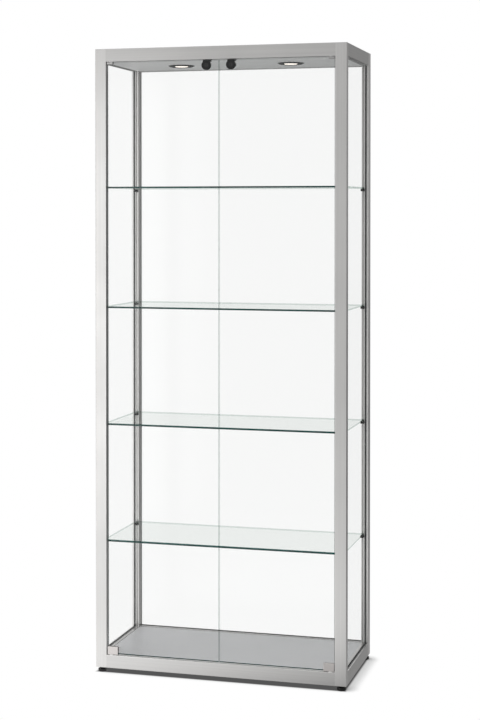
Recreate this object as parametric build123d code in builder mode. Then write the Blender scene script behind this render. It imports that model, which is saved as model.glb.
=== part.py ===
"""Freestanding glass display showcase: aluminium frame, two hinged glass doors, four glass
shelves, two spotlights in the ceiling.

Millimetres. X runs left to right, Y from the doors (front, negative) to the back, Z up.
The origin is on the floor, in the middle of the footprint.
"""

import os

from build123d import *

# Overall size
WIDTH = 800.0
DEPTH = 380.0
HEIGHT = 1950.0
HALF_W = WIDTH / 2
HALF_D = DEPTH / 2

# Frame profiles
FRAME_BOTTOM = 15.0
RAIL_HEIGHT = 40.0
POST_FACE = 35.0
PROFILE_DEPTH = 22.0
WALL = 2.0
EDGE_RADIUS = 1.2
CAP_THICKNESS = 2.0
CAP_TONGUE = 6.0
CAP_TONGUE_FIT = 0.5
RAIL_TOP = FRAME_BOTTOM + RAIL_HEIGHT
CEILING = HEIGHT - RAIL_HEIGHT

# Inner faces of the frame
INNER_X_FRONT = HALF_W - POST_FACE
INNER_X = HALF_W - PROFILE_DEPTH
INNER_Y_FRONT = -HALF_D + PROFILE_DEPTH
INNER_Y_REAR = HALF_D - PROFILE_DEPTH
REAR_POST_FRONT = HALF_D - POST_FACE

# Glazing groove in posts and rails, and the narrow slot for the shelf supports
GROOVE = 7.0
GROOVE_DEPTH = 8.0
GROOVE_LIP = 5.0
GROOVE_CENTRE = GROOVE_LIP + GROOVE / 2
SLOT = 4.0
SLOT_DEPTH = 5.0
SLOT_CENTRE = 17.0

# Glass
PANE = 4.0
PANE_EDGE = 6.0
DOOR_PANE = 5.0
DOOR_GAP = 3.0
GASKET_PROUD = 1.5

# Panels
PANEL_CLEARANCE = 0.5
FLOOR_THICKNESS = 16.0
FLOOR_TOP = 54.0
CEILING_THICKNESS = 10.0
COVER_THICKNESS = 3.0
COVER_TOP = 1948.0

# Doors and pivots
PIVOT_X = 350.0
DOOR_Y = -181.5
PIVOT_R = 3.0
BUSH_BORE_R = 3.05
BUSH_R = 5.0
SHOE_WIDTH = 33.0
SHOE_HEIGHT = 24.0
UPPER_SHOE_WIDTH = 18.0
UPPER_SHOE_HEIGHT = 6.5
SHOE_PLATE = 3.0
SHOE_BASE = 1.5
DOOR_BOTTOM = RAIL_TOP + DOOR_GAP
DOOR_TOP = CEILING - DOOR_GAP
DOOR_OUTER = INNER_X_FRONT - DOOR_GAP

# Locks
LOCK_X = 39.0
LOCK_Z = 1892.0
LOCK_DISC_R = 15.0
LOCK_BARREL_R = 9.3
LOCK_HOLE_R = 9.5
PLUG_R = 6.0

# Shelves
SHELF_Z = (408.0, 775.0, 1143.0, 1519.0)
SHELF_THICKNESS = 5.0
SHELF_HALF_W = 386.0
SHELF_FRONT = -162.0
SHELF_REAR = 152.0
SUPPORT_TONGUE_OFFSET = 0.5
SUPPORT_X = HALF_W - SLOT_CENTRE - SUPPORT_TONGUE_OFFSET
SUPPORT_WIDTH = 10.0
SUPPORT_LENGTH = 16.0
SUPPORT_HEIGHT = 7.0
SUPPORT_GAP = 0.4
PAD_THICKNESS = 1.0

# Spotlights
SPOT_X = 180.0
SPOT_Y = 8.0
BEZEL_R = 42.0
BEZEL_FACE_R = 35.0
BEZEL_DROP = 4.0
LENS_R = 21.0
HOUSING_R = 29.5
HOUSING_CLEARANCE = 1.5

# Levelling feet
FOOT_FRONT = (HALF_W - 17.5, -HALF_D + 14.0)
FOOT_REAR = (HALF_W - 14.0, HALF_D - 17.5)
FOOT_PAD_R = 14.0
FOOT_PAD_HEIGHT = 9.0
FOOT_HEX_R = 7.5
FOOT_HEX_GAP = 0.5
STEM_R = 3.95
THREAD_R = 4.0
INSERT_R = 7.0
INSERT_TOP = 29.0
STEM_TOP = 50.0
BORE_R = 5.0
BORE_TOP = 65.0

# Corner bolts
BOLT_R = 2.5
BOLT_HEAD_R = 4.25
BOLT_HEAD = 4.0
SOCKET_R = 1.9
SOCKET_DEPTH = 2.2
BOLT_Z = 35.0
PLUG_LENGTH = 25.0
JOINT_GAP = 0.1

LEFT, RIGHT = -1, 1
SIDES = {"left": LEFT, "right": RIGHT}
# Which of two corners sorted along X is the outer one
OUTER_CORNER = {LEFT: 0, RIGHT: -1}

os.makedirs("parts", exist_ok=True)


def save(part, label):
    """Label one finished piece and write it as its own STEP file."""
    part.label = label
    export_step(part, f"parts/{label}.step")


def block(x_range, y_range, z_range):
    """A plain rectangular solid between two corners."""
    low = Vector(x_range[0], y_range[0], z_range[0])
    high = Vector(x_range[1], y_range[1], z_range[1])
    size = high - low
    with BuildPart(Plane(origin=(low + high) / 2)) as body:
        Box(size.X, size.Y, size.Z)
    return body.part


def across(side, x_a, x_b):
    """The X range between two distances from the middle, on one side of the showcase."""
    return sorted((side * x_a, side * x_b))


def rectangle(x_range, y_range):
    """A filled rectangle between two corners of the current sketch."""
    centre = ((x_range[0] + x_range[1]) / 2, (y_range[0] + y_range[1]) / 2)
    with Locations(centre):
        Rectangle(x_range[1] - x_range[0], y_range[1] - y_range[0])


def cut_rectangle(x_range, y_range):
    """The same rectangle, taken away from the current sketch."""
    centre = ((x_range[0] + x_range[1]) / 2, (y_range[0] + y_range[1]) / 2)
    with Locations(centre):
        Rectangle(x_range[1] - x_range[0], y_range[1] - y_range[0], mode=Mode.SUBTRACT)


# ---------------------------------------------------------------- posts

def front_post_outline(side):
    """Section of a front post, without its cavities."""
    groove = across(side, HALF_W - GROOVE_LIP, HALF_W - GROOVE_LIP - GROOVE)
    slot = across(side, HALF_W - SLOT_CENTRE - SLOT / 2, HALF_W - SLOT_CENTRE + SLOT / 2)
    with BuildSketch() as section:
        rectangle(across(side, HALF_W, INNER_X_FRONT), (-HALF_D, INNER_Y_FRONT))
        front = section.vertices().group_by(Axis.Y)[0].sort_by(Axis.X)
        fillet(front[OUTER_CORNER[side]], EDGE_RADIUS)
        cut_rectangle(groove, (INNER_Y_FRONT - GROOVE_DEPTH, INNER_Y_FRONT))
        cut_rectangle(slot, (INNER_Y_FRONT - SLOT_DEPTH, INNER_Y_FRONT))
    return section.sketch


def rear_post_outline(side):
    """Section of a rear post, without its cavities."""
    groove = across(side, HALF_W - GROOVE_LIP, HALF_W - GROOVE_LIP - GROOVE)
    slot = across(side, HALF_W - SLOT_CENTRE - SLOT / 2, HALF_W - SLOT_CENTRE + SLOT / 2)
    rear_groove = (HALF_D - GROOVE_LIP - GROOVE, HALF_D - GROOVE_LIP)
    with BuildSketch() as section:
        rectangle(across(side, HALF_W, INNER_X), (REAR_POST_FRONT, HALF_D))
        back = section.vertices().group_by(Axis.Y)[-1].sort_by(Axis.X)
        fillet(back[OUTER_CORNER[side]], EDGE_RADIUS)
        cut_rectangle(groove, (REAR_POST_FRONT, REAR_POST_FRONT + GROOVE_DEPTH))
        cut_rectangle(slot, (REAR_POST_FRONT, REAR_POST_FRONT + SLOT_DEPTH))
        cut_rectangle(across(side, INNER_X, INNER_X + GROOVE_DEPTH), rear_groove)
    return section.sketch


def front_post_cavities(side):
    """The two hollow chambers of a front post."""
    wide_x = across(side, HALF_W - WALL, INNER_X_FRONT + WALL)
    wide_y = (-HALF_D + WALL, INNER_Y_FRONT - GROOVE_DEPTH - WALL)
    narrow_x = across(side, INNER_X_FRONT + WALL, HALF_W - SLOT_CENTRE - SLOT / 2 - WALL)
    with BuildSketch() as section:
        rectangle(wide_x, wide_y)
        rectangle(narrow_x, (wide_y[1], INNER_Y_FRONT - WALL))
    return section.sketch


def rear_post_cavities(side):
    """The two hollow chambers of a rear post."""
    outer_x = across(side, HALF_W - WALL, INNER_X + GROOVE_DEPTH + WALL)
    inner_x = across(side, INNER_X + GROOVE_DEPTH, INNER_X + WALL)
    groove_floor = REAR_POST_FRONT + GROOVE_DEPTH + WALL
    slot_floor = REAR_POST_FRONT + SLOT_DEPTH + WALL
    with BuildSketch() as section:
        rectangle(outer_x, (groove_floor, HALF_D - WALL))
        rectangle(inner_x, (slot_floor, HALF_D - GROOVE_LIP - GROOVE - WALL))
    return section.sketch


# Bolt lines through the posts: the rails' ends are drawn up against the posts
SIDE_BOLT_X = HALF_W - 7.5
FRONT_BOLT_Y = -HALF_D + 7.0
REAR_BOLT_Y = HALF_D - 7.5
BOLT_HEIGHTS = (BOLT_Z, HEIGHT + FRAME_BOTTOM - BOLT_Z)


def front_rail_bolt_plane(side, height):
    """Origin at a front post's inner wall, Z pointing into the front rail."""
    return Plane(origin=(side * (INNER_X_FRONT + WALL), FRONT_BOLT_Y, height), z_dir=(-side, 0, 0))


def side_rail_front_bolt_plane(side, height):
    """Origin at the front post's middle wall, Z pointing into the side rail."""
    wall_y = INNER_Y_FRONT - GROOVE_DEPTH - WALL
    return Plane(origin=(side * SIDE_BOLT_X, wall_y, height), z_dir=(0, 1, 0))


def rear_rail_bolt_plane(side, height):
    """Origin at the rear post's side groove floor, Z pointing into the rear rail."""
    wall_x = side * (INNER_X + GROOVE_DEPTH + WALL)
    return Plane(origin=(wall_x, REAR_BOLT_Y, height), z_dir=(-side, 0, 0))


def side_rail_rear_bolt_plane(side, height):
    """Origin at the rear post's groove floor, Z pointing into the side rail."""
    wall_y = REAR_POST_FRONT + GROOVE_DEPTH + WALL
    return Plane(origin=(side * SIDE_BOLT_X, wall_y, height), z_dir=(0, -1, 0))


def make_post(label, outline, cavities, foot, bolt_planes):
    """One extruded post with a bored lower end for its foot and holes for its bolts."""
    length = HEIGHT - FRAME_BOTTOM - 2 * CAP_THICKNESS
    with BuildPart() as post:
        with BuildSketch(Plane.XY.offset(FRAME_BOTTOM + CAP_THICKNESS)):
            add(outline)
            add(cavities, mode=Mode.SUBTRACT)
        extrude(amount=length)
        with BuildSketch(Plane.XY.offset(FRAME_BOTTOM)):
            with Locations(foot):
                Circle(INSERT_R)
        extrude(amount=INSERT_TOP - FRAME_BOTTOM, mode=Mode.SUBTRACT)
        with BuildSketch(Plane.XY.offset(FRAME_BOTTOM)):
            with Locations(foot):
                Circle(BORE_R)
        extrude(amount=BORE_TOP - FRAME_BOTTOM, mode=Mode.SUBTRACT)
        for plane in bolt_planes:
            with BuildSketch(plane):
                Circle(BOLT_R)
            extrude(amount=WALL + GROOVE_DEPTH, mode=Mode.SUBTRACT)
    save(post.part, label)


for name, side in SIDES.items():
    make_post(
        f"front_post_{name}",
        front_post_outline(side),
        front_post_cavities(side),
        (side * FOOT_FRONT[0], FOOT_FRONT[1]),
        [front_rail_bolt_plane(side, z) for z in BOLT_HEIGHTS]
        + [side_rail_front_bolt_plane(side, z) for z in BOLT_HEIGHTS],
    )
    make_post(
        f"rear_post_{name}",
        rear_post_outline(side),
        rear_post_cavities(side),
        (side * FOOT_REAR[0], FOOT_REAR[1]),
        [rear_rail_bolt_plane(side, z) for z in BOLT_HEIGHTS]
        + [side_rail_rear_bolt_plane(side, z) for z in BOLT_HEIGHTS],
    )

# Plates that close the tops of the posts, each with a tongue down into the chamber
with BuildPart() as post_caps:
    for side in SIDES.values():
        for outline, cavities in (
            (front_post_outline(side), front_post_cavities(side)),
            (rear_post_outline(side), rear_post_cavities(side)),
        ):
            with BuildSketch(Plane.XY.offset(HEIGHT - CAP_THICKNESS)):
                add(outline)
            extrude(amount=CAP_THICKNESS)
            with BuildSketch(Plane.XY.offset(HEIGHT - CAP_THICKNESS)):
                add(cavities.faces().sort_by(SortBy.AREA)[-1])
                offset(amount=-CAP_TONGUE_FIT)
            extrude(amount=-CAP_TONGUE)
save(post_caps.part, "post_caps")

# Foot inserts: a plate that closes the post's lower end, with a tapped boss for the foot
with BuildPart() as foot_inserts:
    for side in SIDES.values():
        for outline, foot in (
            (front_post_outline(side), (side * FOOT_FRONT[0], FOOT_FRONT[1])),
            (rear_post_outline(side), (side * FOOT_REAR[0], FOOT_REAR[1])),
        ):
            with BuildSketch(Plane.XY.offset(FRAME_BOTTOM)):
                add(outline)
                with Locations(foot):
                    Circle(INSERT_R)
            extrude(amount=CAP_THICKNESS)
            with BuildSketch(Plane.XY.offset(FRAME_BOTTOM)):
                with Locations(foot):
                    Circle(INSERT_R)
            extrude(amount=INSERT_TOP - FRAME_BOTTOM)
            with BuildSketch(Plane.XY.offset(FRAME_BOTTOM)):
                with Locations(foot):
                    Circle(THREAD_R)
            extrude(amount=INSERT_TOP - FRAME_BOTTOM, mode=Mode.SUBTRACT)
save(foot_inserts.part, "foot_inserts")

# ---------------------------------------------------------------- rails

# A rail's section: u runs inward from the outer face, v runs from the outer edge of the
# frame (0) to the edge that faces the glass (RAIL_HEIGHT).


def rail_section(groove):
    """Closed rail profile, with or without the glazing groove."""
    floor = RAIL_HEIGHT - WALL - (GROOVE_DEPTH if groove else 0)
    with BuildSketch() as section:
        rectangle((0, PROFILE_DEPTH), (0, RAIL_HEIGHT))
        fillet(section.vertices().sort_by(Axis.X)[:1], EDGE_RADIUS)
        cut_rectangle((WALL, PROFILE_DEPTH - WALL), (WALL, floor))
        if groove:
            cut_rectangle(
                (GROOVE_LIP, GROOVE_LIP + GROOVE), (RAIL_HEIGHT - GROOVE_DEPTH, RAIL_HEIGHT)
            )
            cut_rectangle((GROOVE_LIP + GROOVE + WALL, PROFILE_DEPTH - WALL), (floor, RAIL_HEIGHT - WALL))
    return section.sketch


def rail_plane(where, top):
    """Section plane at one end of a rail: local X points inward, local Y towards the glass."""
    y_sign = -1 if top else 1
    z = HEIGHT if top else FRAME_BOTTOM
    up = Vector(0, 0, y_sign)
    starts = {
        "front": ((-INNER_X_FRONT, -HALF_D, z), Vector(0, 1, 0)),
        "rear": ((-INNER_X, HALF_D, z), Vector(0, -1, 0)),
        "left": ((-HALF_W, INNER_Y_FRONT, z), Vector(1, 0, 0)),
        "right": ((HALF_W, INNER_Y_FRONT, z), Vector(-1, 0, 0)),
    }
    origin, inward = starts[where]
    return Plane(origin=origin, x_dir=inward, z_dir=inward.cross(up))


RAIL_LENGTHS = {
    "front": 2 * INNER_X_FRONT,
    "rear": 2 * INNER_X,
    "left": REAR_POST_FRONT - INNER_Y_FRONT,
    "right": REAR_POST_FRONT - INNER_Y_FRONT,
}

# Where the panel brackets are screwed on: along X on the front and rear rails
BRACKET_X = (-250.0, 250.0)
BRACKET_LENGTH = 30.0
BRACKET_SHEET = 2.0
BRACKET_FLANGE = 20.0
SCREW_R = 1.75
SCREW_HEAD_R = 3.5
SCREW_HEAD = 2.0
SCREW_LENGTH = 9.0
CROSS_LENGTH = 3.6
CROSS_WIDTH = 0.9
CROSS_DEPTH = 1.2
FLOOR_BOTTOM = FLOOR_TOP - FLOOR_THICKNESS
CEILING_TOP = CEILING + CEILING_THICKNESS
COVER_BOTTOM = COVER_TOP - COVER_THICKNESS
BRACKET_SCREW_Z = {"bottom": FLOOR_BOTTOM - 12.0, "top": CEILING_TOP + 14.0}
STRIKE_SCREW_Y = -172.0
STRIKE_SHEET = 1.5
FLUSH_SHANK_R = 1.5
FLUSH_HEAD_R = FLUSH_SHANK_R + STRIKE_SHEET


def make_rail(where, top):
    """One rail between two posts."""
    plane = rail_plane(where, top)
    length = RAIL_LENGTHS[where]
    run = plane.z_dir
    toward = -1 if run.X < 0 or run.Y < 0 else 1
    with BuildPart() as rail:
        with BuildSketch(plane.offset(toward * JOINT_GAP)):
            add(rail_section(groove=where != "front"))
        extrude(amount=toward * (length - 2 * JOINT_GAP))
        level = "top" if top else "bottom"
        if where in ("front", "rear"):
            face_y = INNER_Y_FRONT if where == "front" else INNER_Y_REAR
            outward = -1 if where == "front" else 1
            for x in BRACKET_X:
                centre = (x, face_y, BRACKET_SCREW_Z[level])
                with BuildSketch(Plane(origin=centre, z_dir=(0, outward, 0))):
                    Circle(SCREW_R)
                extrude(amount=WALL, mode=Mode.SUBTRACT)
        if where == "front":
            edge = CEILING if top else RAIL_TOP
            into = 1 if top else -1
            for side in SIDES.values():
                centre = (side * PIVOT_X, DOOR_Y, edge)
                with BuildSketch(Plane(origin=centre, z_dir=(0, 0, into))):
                    Circle(BUSH_R)
                extrude(amount=WALL, mode=Mode.SUBTRACT)
                if top:
                    centre = (side * LOCK_X, STRIKE_SCREW_Y, edge)
                    with BuildSketch(Plane(origin=centre)):
                        Circle(FLUSH_SHANK_R)
                    extrude(amount=WALL, mode=Mode.SUBTRACT)
    save(rail.part, f"{level}_rail_{where}")


for where in RAIL_LENGTHS:
    make_rail(where, top=False)
    make_rail(where, top=True)

# Solid plugs pressed into the rail ends, tapped for the corner bolts
PLUG_FIT = 0.2
PLUG_V = (WALL + PLUG_FIT, RAIL_HEIGHT - WALL - GROOVE_DEPTH - PLUG_FIT)
PLUG_U = (WALL + PLUG_FIT, PROFILE_DEPTH - WALL - PLUG_FIT)
BOLT_LENGTH = 24.0


def bolt_planes():
    """Every corner bolt's plane, with the distance from its head to the rail's end."""
    for side in SIDES.values():
        for height in BOLT_HEIGHTS:
            yield front_rail_bolt_plane(side, height), WALL
            yield side_rail_front_bolt_plane(side, height), WALL + GROOVE_DEPTH
            yield rear_rail_bolt_plane(side, height), WALL + GROOVE_DEPTH
            yield side_rail_rear_bolt_plane(side, height), WALL + GROOVE_DEPTH


with BuildPart() as rail_end_plugs:
    for where, length in RAIL_LENGTHS.items():
        for top in (False, True):
            plane = rail_plane(where, top)
            run = plane.z_dir
            toward = -1 if run.X < 0 or run.Y < 0 else 1
            for start, way in ((0, 1), (length, -1)):
                with BuildSketch(plane.offset(toward * start)):
                    rectangle(PLUG_U, PLUG_V)
                extrude(amount=toward * way * PLUG_LENGTH)
    for plane, reach in bolt_planes():
        with BuildSketch(plane.offset(reach)):
            Circle(BOLT_R)
        extrude(amount=BOLT_LENGTH - reach, mode=Mode.SUBTRACT)
save(rail_end_plugs.part, "rail_end_plugs")

with BuildPart() as corner_bolts:
    for plane, reach in bolt_planes():
        with BuildSketch(plane):
            Circle(BOLT_R)
        extrude(amount=BOLT_LENGTH)
        with BuildSketch(plane):
            Circle(BOLT_HEAD_R)
        extrude(amount=-BOLT_HEAD)
        with BuildSketch(plane.offset(-BOLT_HEAD)):
            RegularPolygon(SOCKET_R, 6)
        extrude(amount=SOCKET_DEPTH, mode=Mode.SUBTRACT)
save(corner_bolts.part, "corner_bolts")

# ---------------------------------------------------------------- fixed glass and gaskets

PANE_Z = (RAIL_TOP - PANE_EDGE, CEILING + PANE_EDGE)
for name, side in SIDES.items():
    pane_x = across(side, HALF_W - GROOVE_CENTRE - PANE / 2, HALF_W - GROOVE_CENTRE + PANE / 2)
    pane = block(pane_x, (INNER_Y_FRONT - PANE_EDGE, REAR_POST_FRONT + PANE_EDGE), PANE_Z)
    save(pane, f"side_glass_{name}")

REAR_PANE_Y = HALF_D - GROOVE_CENTRE
rear_glass = block(
    (-INNER_X - PANE_EDGE, INNER_X + PANE_EDGE),
    (REAR_PANE_Y - PANE / 2, REAR_PANE_Y + PANE / 2),
    PANE_Z,
)
save(rear_glass, "rear_glass")


def gasket_strip(origin, out, width_dir, length):
    """A U strip: `out` points from the groove's floor to the open air."""
    height = GROOVE_DEPTH + GASKET_PROUD
    run = Vector(*width_dir).cross(Vector(*out))
    with BuildSketch(Plane(origin=origin, x_dir=width_dir, z_dir=run)) as section:
        rectangle((-GROOVE / 2, GROOVE / 2), (0, height))
        cut_rectangle((-PANE / 2, PANE / 2), (GROOVE_DEPTH - PANE_EDGE, height))
    extrude(section.sketch, amount=length, both=True)


MIDDLE_Y = (INNER_Y_FRONT + REAR_POST_FRONT) / 2
MIDDLE_Z = (RAIL_TOP + CEILING) / 2
STRIP_GAP = 0.3
HALF_RISE = (CEILING - RAIL_TOP) / 2 - GASKET_PROUD - STRIP_GAP
SIDE_HALF_RUN = (REAR_POST_FRONT - INNER_Y_FRONT) / 2
GROOVE_LOW = RAIL_TOP - GROOVE_DEPTH
GROOVE_HIGH = CEILING + GROOVE_DEPTH

with BuildPart() as glazing_gaskets:
    for side in SIDES.values():
        glass_x = side * (HALF_W - GROOVE_CENTRE)
        front_floor = (glass_x, INNER_Y_FRONT - GROOVE_DEPTH, MIDDLE_Z)
        rear_floor = (glass_x, REAR_POST_FRONT + GROOVE_DEPTH, MIDDLE_Z)
        corner_floor = (side * (INNER_X + GROOVE_DEPTH), REAR_PANE_Y, MIDDLE_Z)
        gasket_strip(front_floor, (0, 1, 0), (1, 0, 0), HALF_RISE)
        gasket_strip(rear_floor, (0, -1, 0), (1, 0, 0), HALF_RISE)
        gasket_strip((glass_x, MIDDLE_Y, GROOVE_LOW), (0, 0, 1), (1, 0, 0), SIDE_HALF_RUN)
        gasket_strip((glass_x, MIDDLE_Y, GROOVE_HIGH), (0, 0, -1), (1, 0, 0), SIDE_HALF_RUN)
        gasket_strip(corner_floor, (-side, 0, 0), (0, 1, 0), HALF_RISE)
    gasket_strip((0, REAR_PANE_Y, GROOVE_LOW), (0, 0, 1), (0, 1, 0), INNER_X)
    gasket_strip((0, REAR_PANE_Y, GROOVE_HIGH), (0, 0, -1), (0, 1, 0), INNER_X)
save(glazing_gaskets.part, "glazing_gaskets")

# ---------------------------------------------------------------- floor, ceiling, top cover

PANEL_X = (-INNER_X + PANEL_CLEARANCE, INNER_X - PANEL_CLEARANCE)
PANEL_Y = (INNER_Y_FRONT + PANEL_CLEARANCE, INNER_Y_REAR - PANEL_CLEARANCE)
BRACKET_SCREW_INSET = 12.0
BRACKET_ROWS = ((INNER_Y_FRONT, 1), (INNER_Y_REAR, -1))

with BuildPart() as floor_panel:
    with BuildSketch(Plane.XY.offset(FLOOR_BOTTOM)):
        rectangle(PANEL_X, PANEL_Y)
    extrude(amount=FLOOR_THICKNESS)
    chamfer(floor_panel.faces().sort_by(Axis.Z)[-1].edges(), 0.5)
    for x in BRACKET_X:
        for face_y, inward in BRACKET_ROWS:
            with BuildSketch(Plane.XY.offset(FLOOR_BOTTOM)):
                with Locations((x, face_y + inward * BRACKET_SCREW_INSET)):
                    Circle(SCREW_R)
            extrude(amount=SCREW_LENGTH - BRACKET_SHEET, mode=Mode.SUBTRACT)
save(floor_panel.part, "floor_panel")

SPOT_CENTRES = [(side * SPOT_X, SPOT_Y) for side in SIDES.values()]
with BuildPart() as ceiling_panel:
    with BuildSketch(Plane.XY.offset(CEILING)):
        rectangle(PANEL_X, PANEL_Y)
        with Locations(SPOT_CENTRES):
            Circle(HOUSING_R + HOUSING_CLEARANCE, mode=Mode.SUBTRACT)
    extrude(amount=CEILING_THICKNESS)
    for x in BRACKET_X:
        for face_y, inward in BRACKET_ROWS:
            with BuildSketch(Plane.XY.offset(CEILING_TOP)):
                with Locations((x, face_y + inward * BRACKET_SCREW_INSET)):
                    Circle(SCREW_R)
            extrude(amount=-(SCREW_LENGTH - BRACKET_SHEET), mode=Mode.SUBTRACT)
save(ceiling_panel.part, "ceiling_panel")

GROMMET_AT = (-300.0, 130.0)
GROMMET_NECK_R = 7.0
GROMMET_FLANGE_R = 9.0
GROMMET_BORE_R = 4.0
GROMMET_FLANGE = 2.0
with BuildPart() as top_cover:
    with BuildSketch(Plane.XY.offset(COVER_BOTTOM)):
        rectangle(PANEL_X, PANEL_Y)
        with Locations(GROMMET_AT):
            Circle(GROMMET_NECK_R, mode=Mode.SUBTRACT)
    extrude(amount=COVER_THICKNESS)
save(top_cover.part, "top_cover")

with BuildPart() as cable_grommet:
    for start, height, radius in (
        (COVER_BOTTOM - GROMMET_FLANGE, GROMMET_FLANGE, GROMMET_FLANGE_R),
        (COVER_BOTTOM, COVER_THICKNESS, GROMMET_NECK_R),
        (COVER_TOP, GROMMET_FLANGE, GROMMET_FLANGE_R),
    ):
        with BuildSketch(Plane.XY.offset(start)):
            with Locations(GROMMET_AT):
                Circle(radius)
        extrude(amount=height)
    with BuildSketch(Plane.XY.offset(COVER_BOTTOM - GROMMET_FLANGE)):
        with Locations(GROMMET_AT):
            Circle(GROMMET_BORE_R)
    extrude(amount=COVER_THICKNESS + 2 * GROMMET_FLANGE, mode=Mode.SUBTRACT)
save(cable_grommet.part, "cable_grommet")

# Angle brackets: the lower ones carry the floor, the upper ones hang the ceiling and carry
# the top cover on their upper edges
with BuildPart() as panel_brackets:
    for x in BRACKET_X:
        for face_y, inward in BRACKET_ROWS:
            for level, plate, tip in (
                ("bottom", FLOOR_BOTTOM, FLOOR_BOTTOM - BRACKET_FLANGE),
                ("top", CEILING_TOP, COVER_BOTTOM),
            ):
                rise = 1 if tip > plate else -1
                corner = Plane(
                    origin=(x, face_y, plate), x_dir=(0, inward, 0), z_dir=(inward * rise, 0, 0)
                )
                with BuildSketch(corner):
                    rectangle((0, BRACKET_SHEET), (0, abs(tip - plate)))
                    rectangle((0, BRACKET_FLANGE), (0, BRACKET_SHEET))
                extrude(amount=BRACKET_LENGTH / 2, both=True)
                with BuildSketch(Plane(origin=(x, face_y, BRACKET_SCREW_Z[level]), z_dir=(0, inward, 0))):
                    Circle(SCREW_R)
                extrude(amount=BRACKET_SHEET, mode=Mode.SUBTRACT)
                inset = face_y + inward * BRACKET_SCREW_INSET
                with BuildSketch(Plane(origin=(x, inset, plate), z_dir=(0, 0, rise))):
                    Circle(SCREW_R)
                extrude(amount=BRACKET_SHEET, mode=Mode.SUBTRACT)
save(panel_brackets.part, "panel_brackets")


def screw(plane):
    """A pan-head screw: the plane lies under its head, Z points along the shank."""
    with BuildSketch(plane) as shank:
        Circle(SCREW_R)
    extrude(shank.sketch, amount=SCREW_LENGTH)
    with BuildSketch(plane) as head:
        Circle(SCREW_HEAD_R)
    extrude(head.sketch, amount=-SCREW_HEAD)
    with BuildSketch(plane.offset(-SCREW_HEAD)) as cross:
        Rectangle(CROSS_LENGTH, CROSS_WIDTH)
        Rectangle(CROSS_WIDTH, CROSS_LENGTH)
    extrude(cross.sketch, amount=CROSS_DEPTH, mode=Mode.SUBTRACT)


def flush_screw(plane):
    """A countersunk screw: the plane holds its flat head, Z points along the shank."""
    with BuildSketch(plane) as head:
        Circle(FLUSH_HEAD_R)
    extrude(head.sketch, amount=STRIKE_SHEET, taper=45)
    with BuildSketch(plane) as shank:
        Circle(FLUSH_SHANK_R)
    extrude(shank.sketch, amount=SCREW_LENGTH)


with BuildPart() as panel_screws:
    for x in BRACKET_X:
        for face_y, inward in BRACKET_ROWS:
            for level, plate, rise in (("bottom", FLOOR_BOTTOM, -1), ("top", CEILING_TOP, 1)):
                sheet_y = face_y + inward * BRACKET_SHEET
                screw(Plane(origin=(x, sheet_y, BRACKET_SCREW_Z[level]), z_dir=(0, -inward, 0)))
                inset = face_y + inward * BRACKET_SCREW_INSET
                under_head = plate + rise * BRACKET_SHEET
                screw(Plane(origin=(x, inset, under_head), z_dir=(0, 0, -rise)))
    for side in SIDES.values():
        flush_screw(Plane(origin=(side * LOCK_X, STRIKE_SCREW_Y, CEILING - STRIKE_SHEET)))
save(panel_screws.part, "panel_screws")

# ---------------------------------------------------------------- spotlights

HOUSING_HEIGHT = 26.0
HOUSING_WALL = 1.5
BEZEL_RIM = 1.0
BEZEL_INNER_RIM = 2.0
LENS_DROP = 3.5
LENS_FIT = 0.1
LENS_BEVEL = 1.5


def at_spot(side):
    """Upright plane through a spotlight's axis."""
    return Plane(origin=(side * SPOT_X, SPOT_Y, 0), x_dir=(1, 0, 0), z_dir=(0, -1, 0))


with BuildPart() as spotlight_bezels:
    for side in SIDES.values():
        plane = at_spot(side)
        with BuildSketch(plane):
            with BuildLine():
                Polyline(
                    (LENS_R, CEILING - BEZEL_INNER_RIM),
                    (BEZEL_FACE_R, CEILING - BEZEL_DROP),
                    (BEZEL_R, CEILING - BEZEL_RIM),
                    (BEZEL_R, CEILING),
                    (LENS_R, CEILING),
                    close=True,
                )
            make_face()
        revolve(axis=Axis(plane.origin, (0, 0, 1)))
save(spotlight_bezels.part, "spotlight_bezels")

with BuildPart() as spotlight_lenses:
    with BuildSketch(Plane.XY.offset(CEILING - LENS_DROP)):
        with Locations(SPOT_CENTRES):
            Circle(LENS_R - LENS_FIT)
    extrude(amount=LENS_DROP)
    chamfer(spotlight_lenses.edges().group_by(Axis.Z)[0], LENS_BEVEL)
save(spotlight_lenses.part, "spotlight_lenses")

with BuildPart() as spotlight_housings:
    for side in SIDES.values():
        plane = at_spot(side)
        with BuildSketch(plane):
            rectangle((0, HOUSING_R), (CEILING, CEILING + HOUSING_HEIGHT))
            cut_rectangle((0, HOUSING_R - HOUSING_WALL), (CEILING, CEILING + HOUSING_HEIGHT - HOUSING_WALL))
        revolve(axis=Axis(plane.origin, (0, 0, 1)))
save(spotlight_housings.part, "spotlight_housings")

# Leaf springs hook on the housing and press on top of the ceiling panel
SPRING_WIDTH = 8.0
SPRING_SHEET = 0.8
SPRING_RISE = 10.0
SPRING_REACH = 16.0
with BuildPart() as spotlight_springs:
    for side in SIDES.values():
        for way in (-1, 1):
            start = Plane(
                origin=(side * SPOT_X + way * HOUSING_R, SPOT_Y, CEILING_TOP),
                x_dir=(way, 0, 0),
                z_dir=(0, -way, 0),
            )
            with BuildSketch(start):
                rectangle((0, SPRING_SHEET), (0, SPRING_RISE))
                rectangle((0, SPRING_REACH), (0, SPRING_SHEET))
            extrude(amount=SPRING_WIDTH / 2, both=True)
save(spotlight_springs.part, "spotlight_springs")

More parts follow.
